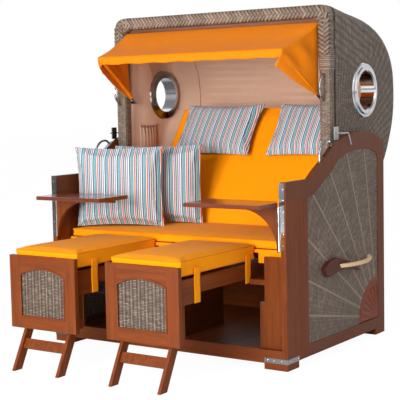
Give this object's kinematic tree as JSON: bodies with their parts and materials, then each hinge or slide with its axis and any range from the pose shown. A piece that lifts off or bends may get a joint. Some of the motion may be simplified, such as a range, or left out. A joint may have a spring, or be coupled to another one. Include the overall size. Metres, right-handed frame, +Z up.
{
  "type": "hooded beach chair",
  "caption": "Hooded wicker beach chair with a reclining hood, fold-out canopy, swing tables and pull-out footrests on folding legs",
  "frame": {"origin": "on the ground, under the middle of the wooden base without hood, canopy and footrests", "axes": "+Z up, -Y the front where the sitter's feet go, +X the sitter's left, in the mirror plane's normal direction"},
  "size_m": [1.4604, 1.7748, 1.592],
  "materials": {
    "canopy_fabric": "light woven outdoor fabric",
    "chrome": "polished stainless steel",
    "dark_wood": "satin dark stained hardwood",
    "lining_fabric": "beige woven lining",
    "orange_fabric": "woven outdoor fabric over foam",
    "rope": "twisted natural rope",
    "striped_fabric": "striped cotton over filling",
    "wicker": "woven flat resin strands, grey brown",
    "wood": "satin stained hardwood"
  },
  "bodies": {
    "base": {"front_post_left": "wood", "front_post_right": "wood", "side_frame_left": "wood", "side_frame_right": "wood", "side_wicker_left": "wicker", "side_wicker_right": "wicker", "carved_corner_left": "wood", "carved_corner_right": "wood", "handle_block_left": "dark_wood", "handle_block_right": "dark_wood", "rope_handle_left": "rope", "rope_handle_right": "rope", "corner_strap_front_left": "chrome", "corner_strap_front_right": "chrome", "front_rail": "wood", "floor_board": "dark_wood", "back_panel": "dark_wood", "centre_partition": "wood", "face_board_left": "wood", "face_board_right": "wood", "seat_board": "dark_wood", "seat_cushion": "orange_fabric", "seat_border": "orange_fabric", "square_pillow_front": "striped_fabric", "square_pillow_rear": "striped_fabric", "table_hinge_left": "chrome", "table_hinge_right": "chrome", "arm_loop_left": "chrome", "arm_loop_right": "chrome"},
    "hood": {"hood_shell": "wicker", "hood_lining": "lining_fabric", "hood_rim": "wicker", "porthole_left": "chrome", "porthole_right": "chrome", "hood_grip_left": "chrome", "hood_grip_right": "chrome", "back_board": "dark_wood", "back_cushion": "orange_fabric", "neck_pillow_left": "striped_fabric", "neck_pillow_right": "striped_fabric", "magazine_pocket": "lining_fabric"},
    "canopy": {"canopy_bow": "chrome", "canopy_cloth": "canopy_fabric"},
    "table_left": {"table_top_left": "wood", "table_bracket_left": "wood"},
    "footrest_left": {"footrest_panel_left": "wood", "footrest_infill_left": "wicker", "footrest_box_left": "wood", "footrest_cushion_left": "orange_fabric"},
    "legs_left": {"leg_frame_left": "wood"},
    "lever_left": {"recline_lever_left": "chrome"},
    "table_right": {"table_top_right": "wood", "table_bracket_right": "wood"},
    "footrest_right": {"footrest_panel_right": "wood", "footrest_infill_right": "wicker", "footrest_box_right": "wood", "footrest_cushion_right": "orange_fabric"},
    "legs_right": {"leg_frame_right": "wood"},
    "lever_right": {"recline_lever_right": "chrome"}
  },
  "joints": [
    {"name": "hood_recline", "type": "hinge", "parent": "base", "child": "hood", "pos_m": [0, 0.13, 0.63], "axis": [-1, 0, 0], "range_deg": [0, 45]},
    {"name": "canopy_fold", "type": "hinge", "parent": "hood", "child": "canopy", "pos_m": [0, 0.058, 1.163], "axis": [-1, 0, 0], "range_deg": [0, 40], "deforming": ["canopy_cloth"]},
    {"name": "table_left_swing", "type": "hinge", "parent": "base", "child": "table_left", "pos_m": [-0.628, -0.487, 0.615], "axis": [0, 0, -1], "range_deg": [0, 90]},
    {"name": "footrest_left_slide", "type": "slide", "parent": "base", "child": "footrest_left", "axis": [0, 1, 0], "range_m": [0, 0.475], "deforming": ["footrest_cushion_left"]},
    {"name": "legs_left_fold", "type": "hinge", "parent": "footrest_left", "child": "legs_left", "pos_m": [-0.272, -0.929, 0.21], "axis": [1, 0, 0], "range_deg": [0, 115]},
    {"name": "lever_left_turn", "type": "hinge", "parent": "base", "child": "lever_left", "pos_m": [-0.663, 0.004, 1.006], "axis": [1, 0, 0], "range_deg": [0, 70]},
    {"name": "table_right_swing", "type": "hinge", "parent": "base", "child": "table_right", "pos_m": [0.628, -0.487, 0.615], "axis": [0, 0, 1], "range_deg": [0, 90]},
    {"name": "footrest_right_slide", "type": "slide", "parent": "base", "child": "footrest_right", "axis": [0, 1, 0], "range_m": [0, 0.475], "deforming": ["footrest_cushion_right"]},
    {"name": "legs_right_fold", "type": "hinge", "parent": "footrest_right", "child": "legs_right", "pos_m": [0.272, -0.929, 0.21], "axis": [1, 0, 0], "range_deg": [0, 115]},
    {"name": "lever_right_turn", "type": "hinge", "parent": "base", "child": "lever_right", "pos_m": [0.663, 0.004, 1.006], "axis": [1, 0, 0], "range_deg": [0, 70]}
  ]
}
